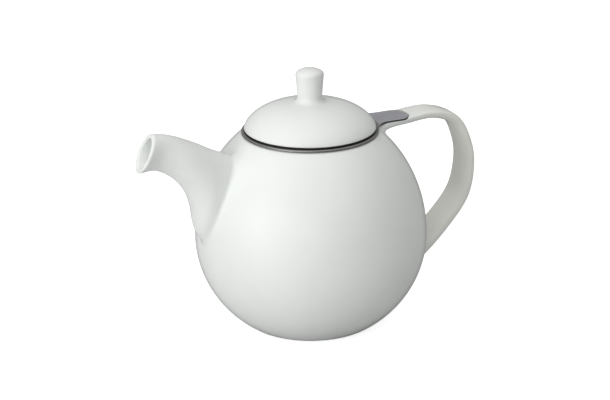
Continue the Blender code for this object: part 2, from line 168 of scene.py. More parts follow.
# Handle stations from the mouth over the top to the belly: widest line (x, z), half width,
# depth outwards, depth inwards.
HANDLE_STATIONS = [
    (24.0, 96.6, 10.2, 3.2, 4.6),
    (33.0, 99.9, 9.6, 3.2, 4.6),
    (42.5, 102.4, 8.8, 1.6, 3.9),
    (53.0, 103.5, 8.3, 1.3, 4.0),
    (68.5, 104.1, 7.8, 1.7, 3.7),
    (81.6, 99.3, 8.1, 2.1, 3.5),
    (88.2, 88.2, 8.6, 2.4, 3.7),
    (90.9, 74.0, 9.0, 2.6, 3.9),
    (87.4, 56.3, 9.5, 2.8, 4.0),
    (74.8, 40.4, 9.8, 2.9, 4.2),
    (58.9, 25.9, 9.8, 2.7, 4.2),
    (44.0, 16.8, 9.8, 1.5, 3.4),
    (33.0, 11.0, 9.8, 1.5, 3.4),
]
HANDLE_STEPS = 18
HANDLE_OUTER_POWER = 3.0
HANDLE_INNER_POWER = 2.2

SPOUT_ROOT_FILLET = 1.8
HANDLE_ROOT_FILLET = 2.0
LIP_ROUND = 0.9
SPOUT_LIP_ROUND = 1.3
# The spout is all to the left of the first of these, the handle to the right of the second.
SPOUT_ENDS_X = -27.0
HANDLE_ENDS_X = 20.0


# ------------------------------------------------------------------ shape functions
# Each gives a distance in millimetres: below zero inside the shape, above zero outside.


def join_round(a, b, radius):
    """Union of two shapes, with a fillet along the crease between them."""
    reach = np.hypot(np.maximum(radius - a, 0.0), np.maximum(radius - b, 0.0))
    return np.maximum(radius, np.minimum(a, b)) - reach


def meet_round(a, b, radius):
    """What two shapes share, with the edge between them rounded."""
    reach = np.hypot(np.maximum(radius + a, 0.0), np.maximum(radius + b, 0.0))
    return np.minimum(-radius, np.maximum(a, b)) + reach


def cut_round(a, b, radius):
    """The first shape less the second, with the cut's edge rounded."""
    return meet_round(a, -b, radius)


def oval(u, v, half_u, half_v, power=2.0):
    """Distance to a (super)ellipse with the given half sizes."""
    a = np.abs(u) / half_u
    b = np.abs(v) / half_v
    size = np.maximum((a ** power + b ** power) ** (1.0 / power), 0.05)
    slope_u = a ** (power - 1.0) / half_u
    slope_v = b ** (power - 1.0) / half_v
    slope = np.hypot(slope_u, slope_v) * size ** (1.0 - power)
    return (size - 1.0) / np.maximum(slope, 0.01)


def spline(rows, per_span):
    """A smooth curve through rows of numbers (Catmull-Rom), row by row."""
    rows = np.array(rows)
    last = len(rows) - 1
    result = []
    for i in range(last):
        a, b, c, d = rows[max(i - 1, 0)], rows[i], rows[i + 1], rows[min(i + 2, last)]
        for k in range(per_span):
            t = k / per_span
            bend = (2 * a - 5 * b + 4 * c - d) * t * t + (3 * b - a - 3 * c + d) * t ** 3
            result.append(0.5 * (2 * b + (c - a) * t + bend))
    result.append(rows[last])
    return np.array(result)


class Sweep:
    """A run of flat sections that stand across the plane y = 0."""

    def __init__(self, centre, through, sizes):
        self.centre = centre
        self.through = through / np.linalg.norm(through, axis=1)[:, None]
        self.along = np.stack([-self.through[:, 1], self.through[:, 0]], 1)
        self.sizes = sizes

    def locate(self, x, z):
        """Offset through the section that a point lies in, that section's sizes and the
        distance past the sweep's ends."""
        dx = np.asarray(x)[..., None] - self.centre[:, 0]
        dz = np.asarray(z)[..., None] - self.centre[:, 1]
        along = dx * self.along[:, 0] + dz * self.along[:, 1]
        through = dx * self.through[:, 0] + dz * self.through[:, 1]
        last = len(self.centre) - 1
        crossed = (along[..., :-1] > 0) & (along[..., 1:] <= 0)
        cost = np.where(crossed, np.abs(through[..., :-1]), np.inf)
        near = cost.argmin(-1)
        here = np.take_along_axis(along, near[..., None], -1)[..., 0]
        there = np.take_along_axis(along, near[..., None] + 1, -1)[..., 0]
        between = near + here / np.where(here == there, 1.0, here - there)
        end = np.where(along[..., 0] > 0, last, 0)
        place = np.where(crossed.any(-1), between, end)
        steps = np.arange(last + 1)
        centre_x = np.interp(place, steps, self.centre[:, 0])
        centre_z = np.interp(place, steps, self.centre[:, 1])
        lean_x = np.interp(place, steps, self.through[:, 0])
        lean_z = np.interp(place, steps, self.through[:, 1])
        offset = (x - centre_x) * lean_x + (z - centre_z) * lean_z
        sizes = [np.interp(place, steps, column) for column in self.sizes.T]
        beyond = np.maximum(-along[..., 0], along[..., -1])
        return offset, sizes, beyond, place / last


def make_spout_sweep():
    rows = spline(SPOUT_SECTIONS, SPOUT_STEPS)
    top = rows[:, 0:2]
    low = rows[:, 2:4]
    half_height = np.linalg.norm(top - low, axis=1) / 2
    return Sweep((top + low) / 2, top - low, np.stack([rows[:, 4], half_height], 1))


def make_handle_sweep():
    rows = spline(HANDLE_STATIONS, HANDLE_STEPS)
    tangent = np.gradient(rows[:, 0:2], axis=0)
    outward = np.stack([-tangent[:, 1], tangent[:, 0]], 1)
    return Sweep(rows[:, 0:2], -outward, rows[:, 2:5])


SPOUT = make_spout_sweep()
HANDLE = make_handle_sweep()


def spout_shapes(x, y, z):
    """The spout's outside, cut off at its mouth, and its pouring channel."""
    offset, (half_width, half_height), beyond, share = SPOUT.locate(x, z)
    wall = SPOUT_WALL_ROOT + (SPOUT_WALL_MOUTH - SPOUT_WALL_ROOT) * share
    outside = oval(offset, y, half_height, half_width)
    channel = oval(offset, y, half_height - wall, half_width - wall)
    outside = meet_round(outside, beyond, SPOUT_LIP_ROUND)
    return outside, np.maximum(channel, beyond - SPOUT_CHANNEL_OVERRUN)


def handle_shape(x, y, z):
    """The strap: nearly flat on its outer side, rounder towards the fingers."""
    offset, (half_width, outer_depth, inner_depth), beyond, _ = HANDLE.locate(x, z)
    outer = oval(offset, y, outer_depth, half_width, HANDLE_OUTER_POWER)
    inner = oval(offset, y, inner_depth, half_width, HANDLE_INNER_POWER)
    return np.maximum(np.where(offset < 0, outer, inner), beyond)


def body_shape(r, z, inset=0.0):
    """The round body, or a surface a given depth inside it."""
    rise = np.where(z >= BELLY_Z, SHOULDER_RISE, BASE_DROP)
    return oval(r, z - BELLY_Z, BELLY_RADIUS - inset, rise - inset)


def tongue_plan(x, y):
    """The tongue seen from above, flaring into the round rim."""
    corner = TONGUE_CORNER
    across = np.abs(y) - TONGUE_HALF_WIDTH + corner
    forward = x - TONGUE_TIP_X + corner
    outside = np.hypot(np.maximum(across, 0.0), np.maximum(forward, 0.0))
    plan = outside + np.minimum(np.maximum(across, forward), 0.0) - corner
    return np.maximum(plan, TONGUE_ROOT_X - x)


def rim_plan(x, y):
    """The whole steel rim seen from above."""
    return join_round(np.hypot(x, y) - RIM_RADIUS, tongue_plan(x, y), TONGUE_FLARE)


def pot_shape(x, y, z):
    """The whole pot: body, spout and handle in one glazed skin."""
    r = np.hypot(x, y)
    solid = meet_round(body_shape(r, z), z - MOUTH_Z, MOUTH_CORNER_ROUND)
    hollow = meet_round(body_shape(r, z, WALL), FLOOR_Z - z, FLOOR_CORNER_ROUND)
    hollow = np.minimum(hollow, np.maximum(r - MOUTH_BORE, MOUTH_BORE_LOW_Z - z))
    if np.max(x) > HANDLE_ENDS_X:
        solid = join_round(solid, handle_shape(x, y, z), HANDLE_ROOT_FILLET)
    if np.min(x) < SPOUT_ENDS_X:
        spout, channel = spout_shapes(x, y, z)
        solid = join_round(solid, spout, SPOUT_ROOT_FILLET)
        hollow = join_round(hollow, channel, SPOUT_CHANNEL_FILLET)
    rim_room = np.maximum(r - RIM_RADIUS - RELIEF_ROOM, RIM_UNDER_Z - z)
    relief = np.maximum(rim_plan(x, y) - RELIEF_ROOM, RELIEF_Z - z)
    solid = cut_round(solid, np.minimum(rim_room, relief), RELIEF_EDGE_ROUND)
    solid = meet_round(solid, -z, FOOT_EDGE_ROUND)
    recess = np.maximum(r - FOOT_INNER + FOOT_RECESS_TAPER * z, z - FOOT_RECESS)
    solid = cut_round(solid, recess, FOOT_RECESS_ROUND)
    return cut_round(solid, hollow, LIP_ROUND)


def rim_shape(x, y, z):
    """The steel rim: flat top, collar inside, and the tongue, which steps up outside the
    lid's edge. Underneath, both are hollowed to the thickness of the sheet."""
    r = np.hypot(x, y)
    plan = rim_plan(x, y)
    climb = np.clip((r - TONGUE_RISE_FROM) / (TONGUE_RISE_TO - TONGUE_RISE_FROM), 0.0, 1.0)
    climb = climb * climb * (3.0 - 2.0 * climb)
    climb = climb * np.clip((x - TONGUE_ROOT_X) / TONGUE_RISE_BLEND, 0.0, 1.0)
    top = RIM_TOP_Z + (TONGUE_TOP_Z - RIM_TOP_Z) * climb
    edge_round = RIM_EDGE_ROUND + (TONGUE_EDGE_ROUND - RIM_EDGE_ROUND) * climb
    block = meet_round(plan, z - top, edge_round)
    ring_low = np.where(r < COLLAR_RADIUS + COLLAR_WIDTH, COLLAR_UNDER_Z, RIM_UNDER_Z)
    low = np.where(r < RIM_RADIUS, ring_low, TONGUE_UNDER_Z)
    block = meet_round(block, low - z, SHEET_EDGE_ROUND)
    groove = np.maximum(r - RIM_RADIUS + SHEET, COLLAR_RADIUS - r)
    tongue_groove = np.maximum(plan + SHEET, RIM_RADIUS + TONGUE_GROOVE_GAP - r)
    groove = np.maximum(groove, z - RIM_TOP_Z + SHEET)
    tongue_groove = np.maximum(tongue_groove, z - top + SHEET)
    block = cut_round(block, np.minimum(groove, tongue_groove), SHEET_EDGE_ROUND)
    return cut_round(block, r - COLLAR_RADIUS + SHEET, COLLAR_EDGE_ROUND)


# ------------------------------------------------------------------ meshes from shapes


def by_zones(shape, points):
    """Shape's values at loose points, a zone at a time, so that each zone skips what it
    doesn't hold."""
    values = np.empty(len(points))
    left = points[:, 0] < SPOUT_ENDS_X
    right = points[:, 0] > HANDLE_ENDS_X
    for zone in (left, right, ~(left | right)):
        if zone.any():
            values[zone] = shape(*points[zone].T)
    return values


def slopes(shape, points):
    """Direction in which the shape's value grows fastest, from four nearby values."""
    step = 0.05
    total = np.zeros_like(points)
    for corner in ((1, -1, -1), (-1, -1, 1), (-1, 1, -1), (1, 1, 1)):
        corner = np.array(corner, float)
        total += corner * by_zones(shape, points + corner * step)[:, None]
    return total / (4 * step)


def settle(shape, points, limit):
    """Move points straight onto the shape's surface."""
    value = by_zones(shape, points)
    slope = slopes(shape, points)
    steep = np.maximum((slope ** 2).sum(1), 0.05)
    move = -slope * (value / steep)[:, None]
    length = np.maximum(np.linalg.norm(move, axis=1), 1e-9)
    return points + move * np.minimum(1.0, limit / length)[:, None]


def relax(points, quads, amount):
    """Move each point towards the middle of its neighbours, to even out the mesh."""
    total = np.zeros_like(points)
    count = np.zeros(len(points))
    for a, b in ((0, 1), (1, 2), (2, 3), (3, 0)):
        for near, far in ((a, b), (b, a)):
            for axis in range(3):
                total[:, axis] += np.bincount(
                    quads[:, near], points[quads[:, far], axis], len(points))
            count += np.bincount(quads[:, near], minlength=len(points))
    middle = total / np.maximum(count, 1.0)[:, None]
    return points + (middle - points) * amount


def grid_values(shape, xs, ys, zs):
    """Shape's values at every grid point, a few columns of the grid at a time."""
    values = np.empty((len(xs), len(ys), len(zs)), np.float32)
    for part in np.array_split(np.arange(len(xs)), max(1, len(xs) // 12)):
        block = shape(xs[part][:, None, None], ys[None, :, None], zs[None, None, :])
        values[part] = block
    return values


def join_diagonals(values):
    """Fill one corner of every grid face whose inside corners are diagonally opposite, so
    that no edge of the surface is shared by four faces."""
    just_inside = -1e-4
    found = True
    while found:
        found = False
        for axis in range(3):
            u, v = [other for other in range(3) if other != axis]
            inside = values < 0
            corners = []
            for du, dv in ((0, 0), (1, 1), (1, 0), (0, 1)):
                part = [slice(None)] * 3
                part[u] = slice(du, values.shape[u] - 1 + du)
                part[v] = slice(dv, values.shape[v] - 1 + dv)
                corners.append(inside[tuple(part)])
            near, far, right, left = corners
            diagonal = (near == far) & (right == left) & (near != right)
            fill_near = np.argwhere(diagonal & ~near)
            fill_right = np.argwhere(diagonal & near)
            fill_right[:, u] += 1
            for fill in (fill_near, fill_right):
                values[tuple(fill.T)] = just_inside
                found = found or len(fill) > 0
    return values


def surface_net(shape, xs, ys, zs):
    """Points and quads of the shape's surface: one point in each grid cell that the
    surface crosses, one quad across each grid line that it crosses."""
    values = join_diagonals(grid_values(shape, xs, ys, zs))
    inside = values < 0
    corners = [(i, j, k) for i in (0, 1) for j in (0, 1) for k in (0, 1)]
    cells = tuple(n - 1 for n in values.shape)
    filled = np.zeros(cells, np.int8)
    for i, j, k in corners:
        filled += inside[i:i + cells[0], j:j + cells[1], k:k + cells[2]]
    active = np.argwhere((filled > 0) & (filled < 8))
    number = np.full(cells, -1, np.int64)
    number[tuple(active.T)] = np.arange(len(active))
    total = np.zeros((len(active), 3))
    count = np.zeros(len(active))
    for start in corners:
        for axis in range(3):
            if start[axis]:
                continue
            a = active + start
            b = a.copy()
            b[:, axis] += 1
            va = values[tuple(a.T)].astype(float)
            vb = values[tuple(b.T)].astype(float)
            crossed = (va < 0) != (vb < 0)
            share = np.where(crossed, va / np.where(va == vb, 1.0, va - vb), 0.0)
            pa = np.stack([xs[a[:, 0]], ys[a[:, 1]], zs[a[:, 2]]], 1)
            pb = np.stack([xs[b[:, 0]], ys[b[:, 1]], zs[b[:, 2]]], 1)
            total += np.where(crossed[:, None], pa + (pb - pa) * share[:, None], 0.0)
            count += crossed
    points = total / count[:, None]
    quads = []
    for axis in range(3):
        u, v = (axis + 1) % 3, (axis + 2) % 3
        low = [slice(1, -1)] * 3
        high = [slice(1, -1)] * 3
        low[axis] = slice(0, -1)
        high[axis] = slice(1, None)
        first = inside[tuple(low)]
        second = inside[tuple(high)]
        for outward in (True, False):
            where = np.argwhere((first & ~second) if outward else (~first & second))
            ring = []
            for du, dv in ((0, 0), (1, 0), (1, 1), (0, 1)):
                cell = where.copy()
                cell[:, u] += du
                cell[:, v] += dv
                ring.append(number[tuple(cell.T)])
            quads.append(np.stack(ring if outward else ring[::-1], 1))
    return points, np.concatenate(quads)


def add_mesh(name, points, faces, normals=None):
    """A smooth-shaded object from points in millimetres and lists of vertex numbers."""
    mesh = bpy.data.meshes.new(name)
    mesh.from_pydata((points * METRES).tolist(), [], [list(face) for face in faces])
    mesh.validate()
    mesh.shade_smooth()
    if normals is not None:
        mesh.normals_split_custom_set_from_vertices(normals.tolist())
    obj = bpy.data.objects.new(name, mesh)
    bpy.context.scene.collection.objects.link(obj)
    return obj


def skin(name, shape, xs, ys, zs, rounds=3):
    """A mesh of a shape, evened out and then settled exactly onto its surface."""
    points, quads = surface_net(shape, xs, ys, zs)
    cell = max(np.diff(xs).min(), np.diff(zs).min())
    points = settle(shape, points, cell)
    for _ in range(rounds):
        points = relax(points, quads, 0.5)
        points = settle(shape, points, cell)
    points = settle(shape, points, cell)
    normals = slopes(shape, points)
    normals /= np.maximum(np.linalg.norm(normals, axis=1), 1e-9)[:, None]
    return add_mesh(name, points, quads.tolist(), normals)


def grid_line(*spans):
    """Grid positions from spans of (start, end, spacing)."""
    values = []
    for start, end, spacing in spans:
        count = max(1, round((end - start) / spacing))
        values += [start + (end - start) * i / count for i in range(count)]
    return np.array(values + [spans[-1][1]])


# ------------------------------------------------------------------ turned and punched meshes


def arc(centre, radius, start, end, count):
    """Points (r, z) on an arc, angles in degrees from the +r direction towards +z."""
    angles = np.radians(np.linspace(start, end, count + 1))
    return [(centre[0] + radius * math.cos(a), centre[1] + radius * math.sin(a)) for a in angles]


def turned(name, outline, steps):
    """Turn an outline of (r, z) points about Z. A point on the axis becomes one vertex."""
    points = []
    faces = []
    rows = []
    for r, z in outline:
        if r < 1e-6:
            rows.append([len(points)] * steps)
            points.append((0.0, 0.0, z))
            continue
        rows.append(list(range(len(points), len(points) + steps)))
        for i in range(steps):
            angle = 2 * math.pi * i / steps
            points.append((r * math.cos(angle), r * math.sin(angle), z))
    closed = outline[0][0] > 1e-6
    pairs = zip(rows, rows[1:] + rows[:1]) if closed else zip(rows, rows[1:])
    for upper, lower in pairs:
        for i in range(steps):
            j = (i + 1) % steps
            ring = [upper[i], lower[i], lower[j], upper[j]]
            face = [v for n, v in enumerate(ring) if v != ring[n - 1]]
            if len(face) > 2:
                faces.append(face)
    return add_mesh(name, np.array(points), faces)


HOLE_ANGLES = [30 * i for i in range(12)]
CELL_BORDER = [
    (0.5, 0.0), (0.5, 0.5), (0.25, 0.5), (0.0, 0.5), (-0.25, 0.5), (-0.5, 0.5),
    (-0.5, 0.0), (-0.5, -0.5), (-0.25, -0.5), (0.0, -0.5), (0.25, -0.5), (0.5, -0.5),
]


def perforated_sleeve(name):
    """A steel tube punched with staggered rows of round holes. Each hole stands in a cell of
    its own, and neighbouring cells share the vertices of their borders."""
    columns = SLEEVE_COLUMNS
    pitch_z = SLEEVE_ROW_PITCH
    inner = SLEEVE_RADIUS - SLEEVE_SHEET
    pitch_u = 2 * math.pi / columns
    low = SLEEVE_UNDER_Z + SLEEVE_PLAIN_LOW
    high = SLEEVE_TOP_Z - SLEEVE_PLAIN_HIGH
    rows = int((high - low) / pitch_z)
    points = []
    faces = []
    seen = {}

    def vertex(u, z, radius):
        key = (round((u / pitch_u) * 4) % (columns * 4), round(z, 3), radius)
        if key not in seen:
            seen[key] = len(points)
            points.append((radius * math.cos(u), radius * math.sin(u), z))
        return seen[key]

    for row in range(rows):
        z = low + (row + 0.5) * pitch_z
        for column in range(columns):
            u = (column + 0.5 * (row % 2)) * pitch_u
            sides = []
            for radius in (SLEEVE_RADIUS, inner):
                border = [vertex(u + a * pitch_u, z + b * pitch_z, radius)
                          for a, b in CELL_BORDER]
                ring = []
                for degrees in HOLE_ANGLES:
                    angle = math.radians(degrees)
                    around = u + HOLE_RADIUS * math.cos(angle) / SLEEVE_RADIUS
                    ring.append(len(points))
                    points.append((radius * math.cos(around), radius * math.sin(around),
                                   z + HOLE_RADIUS * math.sin(angle)))
                sides.append((border, ring))
            (border, ring), (back_border, back_ring) = sides
            for n in range(len(ring)):
                m = (n + 1) % len(ring)
                faces.append((border[n], border[m], ring[m], ring[n]))
                faces.append((back_border[m], back_border[n], back_ring[n], back_ring[m]))
                faces.append((ring[n], ring[m], back_ring[m], back_ring[n]))
    top = low + rows * pitch_z
    bands = [(SLEEVE_UNDER_Z, low), (top, SLEEVE_TOP_Z)]
    for column in range(columns * 4):
        u0 = column * pitch_u / 4
        u1 = (column + 1) * pitch_u / 4
        for z0, z1 in bands:
            for radius, flip in ((SLEEVE_RADIUS, False), (inner, True)):
                ring = [vertex(u0, z0, radius), vertex(u1, z0, radius),
                        vertex(u1, z1, radius), vertex(u0, z1, radius)]
                faces.append(ring[::-1] if flip else ring)
        for z, flip in ((SLEEVE_UNDER_Z, False), (SLEEVE_TOP_Z, True)):
            ring = [vertex(u0, z, inner), vertex(u1, z, inner),
                    vertex(u1, z, SLEEVE_RADIUS), vertex(u0, z, SLEEVE_RADIUS)]
            faces.append(ring[::-1] if flip else ring)
    return add_mesh(name, np.array(points), faces)


def floor_shape(x, y, z):
    """A shallow pressed dish, punched with a triangular grid of round holes."""
    r = np.hypot(x, y)
    sheet = SLEEVE_SHEET
    block = meet_round(r - FLOOR_DISC_RADIUS, FLOOR_DISC_Z - z, FLOOR_DISC_ROUND)
    block = meet_round(block, z - FLOOR_DISC_TOP_Z, FLOOR_EDGE_ROUND)
    dish = meet_round(r - FLOOR_DISC_RADIUS + sheet, FLOOR_DISC_Z + sheet - z, FLOOR_DISH_ROUND)
    block = cut_round(block, dish, FLOOR_EDGE_ROUND)
    pitch = FLOOR_HOLE_PITCH
    row = pitch * math.sqrt(3) / 2
    nearest = np.full(np.broadcast(x, y).shape, np.inf)
    for shift in (0.0, 0.5):
        dx = x - pitch * (np.round(x / pitch - shift) + shift)
        dy = y - 2 * row * (np.round(y / (2 * row) - shift) + shift)
        nearest = np.minimum(nearest, np.hypot(dx, dy))
    holes = np.maximum(nearest - HOLE_RADIUS, r - FLOOR_DISC_RADIUS + FLOOR_PLAIN_BORDER)
    return cut_round(block, holes, FLOOR_HOLE_ROUND)


def lid_height(radius, inset=0.0):
    """Height of the lid's dome at a radius, or of a surface a given depth inside it."""
    share = min(1.0, radius / (LID_RADIUS - inset))
    rise = (LID_RISE - inset) * (1.0 - share ** LID_RADIAL_POWER) ** (1.0 / LID_RISE_POWER)
    return LID_EDGE_Z + rise


def lid_outline():
    """From the knob's crown down the outside of the lid, round its edge and up inside."""
    crown = [(0.0, KNOB_TOP_Z), (1.5, KNOB_TOP_Z - 0.03), (3.0, KNOB_TOP_Z - 0.16),
             (4.4, KNOB_TOP_Z - 0.55)]
    shoulder = arc((KNOB_RADIUS - KNOB_SHOULDER_ROUND, KNOB_SHOULDER_Z + 0.55),
                   KNOB_SHOULDER_ROUND, 62, -4, 8)
    foot_z = lid_height(KNOB_NECK_RADIUS + 3.2)
    fillet = arc((KNOB_NECK_RADIUS + KNOB_FOOT_FILLET, foot_z + 3.2), KNOB_FOOT_FILLET,
                 178, 262, 10)
    dome = []
    start = math.acos((KNOB_NECK_RADIUS + 3.6) / LID_RADIUS)
    for i in range(LID_DOME_STEPS + 1):
        radius = LID_RADIUS * math.cos(start * (1 - i / LID_DOME_STEPS))
        dome.append((radius, lid_height(radius)))
    edge = arc((LID_RADIUS - LID_LIP_ROUND, LID_EDGE_Z), LID_LIP_ROUND, -10, -90, 6)
    lip_under = LID_EDGE_Z - LID_LIP_ROUND
    seat = [(LID_SEAT_RADIUS + 0.7, lip_under), (LID_SEAT_RADIUS + 0.3, lip_under - 0.1),
            (LID_SEAT_RADIUS, LID_SEAT_Z + 0.3), (LID_SEAT_RADIUS - 0.3, LID_SEAT_Z),
            (SKIRT_RADIUS + 0.3, LID_SEAT_Z), (SKIRT_RADIUS, LID_SEAT_Z - 0.3)]
    bore = SKIRT_RADIUS - SKIRT_WALL
    skirt = arc((SKIRT_RADIUS - SKIRT_ROUND, SKIRT_UNDER_Z + SKIRT_ROUND), SKIRT_ROUND, 0, -90, 5)
    skirt += arc((bore + SKIRT_ROUND, SKIRT_UNDER_Z + SKIRT_ROUND), SKIRT_ROUND, -90, -180, 5)
    inner = []
    for i in range(LID_INSIDE_STEPS + 1):
        radius = (bore - 1.0) * math.cos(math.pi / 2 * i / LID_INSIDE_STEPS)
        inner.append((radius if i < LID_INSIDE_STEPS else 0.0, lid_height(radius, LID_WALL)))
    bore_top = lid_height(bore, LID_WALL)
    rise = [(bore, bore_top - 1.6), (bore - 0.25, bore_top - 0.4)]
    return crown + shoulder + fillet + dome + edge + seat + skirt + rise + inner


# ------------------------------------------------------------------ materials


class Nodes:
    """A short way to write a material's node tree."""

    def __init__(self, name):
        self.material = bpy.data.materials.new(name)
        self.material.use_nodes = True
        self.tree = self.material.node_tree
        self.shader = self.tree.nodes["Principled BSDF"]

    def add(self, kind, **settings):
        node = self.tree.nodes.new(kind)
        for key, value in settings.items():
            setattr(node, key, value)
        return node

    def link(self, source, target):
        self.tree.links.new(source, target)

    def value(self, node, **inputs):
        for key, value in inputs.items():
            socket = node.inputs[key.replace("_", " ")]
            if isinstance(value, bpy.types.NodeSocket):
                self.link(value, socket)
            else:
                socket.default_value = value
        return node

    def math(self, operation, a, b=0.0):
        node = self.add("ShaderNodeMath", operation=operation)
        for socket, value in zip(node.inputs, (a, b)):
            if isinstance(value, bpy.types.NodeSocket):
                self.link(value, socket)
            else:
                socket.default_value = value
        return node.outputs[0]

    def noise(self, vector, scale, detail=3.0, roughness=0.5):
        node = self.add("ShaderNodeTexNoise")
        self.value(node, Vector=vector, Scale=scale, Detail=detail, Roughness=roughness)
        return node.outputs["Fac"]

    def map_range(self, value, low, high, to_low, to_high):
        node = self.add("ShaderNodeMapRange")
        self.value(node, Value=value, From_Min=low, From_Max=high, To_Min=to_low, To_Max=to_high)
        return node.outputs["Result"]

    def mix(self, factor, a, b):
        node = self.add("ShaderNodeMix", data_type="RGBA")
        for socket, value in ((node.inputs[0], factor), (node.inputs[6], a), (node.inputs[7], b)):
            if isinstance(value, bpy.types.NodeSocket):
                self.link(value, socket)
            else:
                socket.default_value = value
        return node.outputs[2]

    def bump(self, height, strength, distance):
        node = self.add("ShaderNodeBump")
        self.value(node, Height=height, Strength=strength, Distance=distance)
        return node.outputs["Normal"]


GLAZE_LOW = (0.768, 0.790, 0.770, 1.0)
GLAZE_HIGH = (0.793, 0.815, 0.795, 1.0)
# Painted warm bounce light for the handle.
HANDLE_BOUNCE_TINT = (0.775, 0.775, 0.728, 1.0)
# Painted shade for the glaze's grazing edges.
GRAZING_SHADE_COLOUR = (0.30, 0.30, 0.31, 1.0)
CLAY_LOW = (0.56, 0.53, 0.47, 1.0)
CLAY_HIGH = (0.66, 0.63, 0.57, 1.0)
STEEL_WARM = (1.0, 0.985, 0.91)
STEEL_COOL = (0.98, 0.985, 1.05)
RIM_STEEL = 0.33
BASKET_STEEL = 0.55
# Painted shadow on the rim under the lid's edge.
LID_SHADOW_STEEL = 0.07
# Painted shade for the steel's upright edges.
EDGE_SHADE_STEEL = 0.09


def grey(value, tint):
    """A colour of a given lightness, leaning towards a tint."""
    return tuple(value * share for share in tint) + (1.0,)


def glaze(name, foot=False):
    """Satin white glaze: faint unevenness in tone and gloss, a soft orange-peel surface, and
    painted shade darkening the grazing edges. The pot's is tinted warmer on the handle as painted
    warm bounce light, and leaves a bare ring of clay where it stands."""
    n = Nodes(name)
    place = n.add("ShaderNodeTexCoord").outputs["Object"]
    cloud = n.noise(place, 38.0, 2.0)
    colour = n.mix(n.map_range(cloud, 0.35, 0.65, 0.0, 1.0), GLAZE_LOW, GLAZE_HIGH)
    gloss = n.map_range(n.noise(place, 160.0), 0.3, 0.7, 0.42, 0.50)
    if foot:
        split = n.add("ShaderNodeSeparateXYZ")
        n.value(split, Vector=place)
        ragged = n.math("MULTIPLY", n.noise(place, 420.0), 0.0006)
        height = n.math("SUBTRACT", split.outputs["Z"], ragged)
        bare = n.map_range(height, 0.0001, 0.0003, 1.0, 0.0)
        clay = n.mix(n.noise(place, 900.0), CLAY_LOW, CLAY_HIGH)
        # Painted warm bounce light: the glaze is tinted warmer on the handle.
        on_handle = n.map_range(split.outputs["X"], 0.050, 0.075, 0.0, 1.0)
        colour = n.mix(on_handle, colour, HANDLE_BOUNCE_TINT)
        colour = n.mix(bare, colour, clay)
        gloss = n.math("MAXIMUM", gloss, n.math("MULTIPLY", bare, 0.85))
    # Painted shade: the glaze's colour darkens towards grazing edges.
    grazing = n.add("ShaderNodeLayerWeight")
    grazing.inputs["Blend"].default_value = 0.5
    painted_grazing_shade = n.map_range(grazing.outputs["Facing"], 0.76, 1.0, 0.0, 0.80)
    colour = n.mix(painted_grazing_shade, colour, GRAZING_SHADE_COLOUR)
    fine_ripple = n.math("MULTIPLY", n.noise(place, 1500.0, 2.0), 0.25)
    ripple = n.math("ADD", n.noise(place, 260.0, 2.0), fine_ripple)
    n.value(n.shader, Base_Color=colour, Roughness=gloss, IOR=1.5,
            Normal=n.bump(ripple, 0.06, 0.0004))
    return n.material


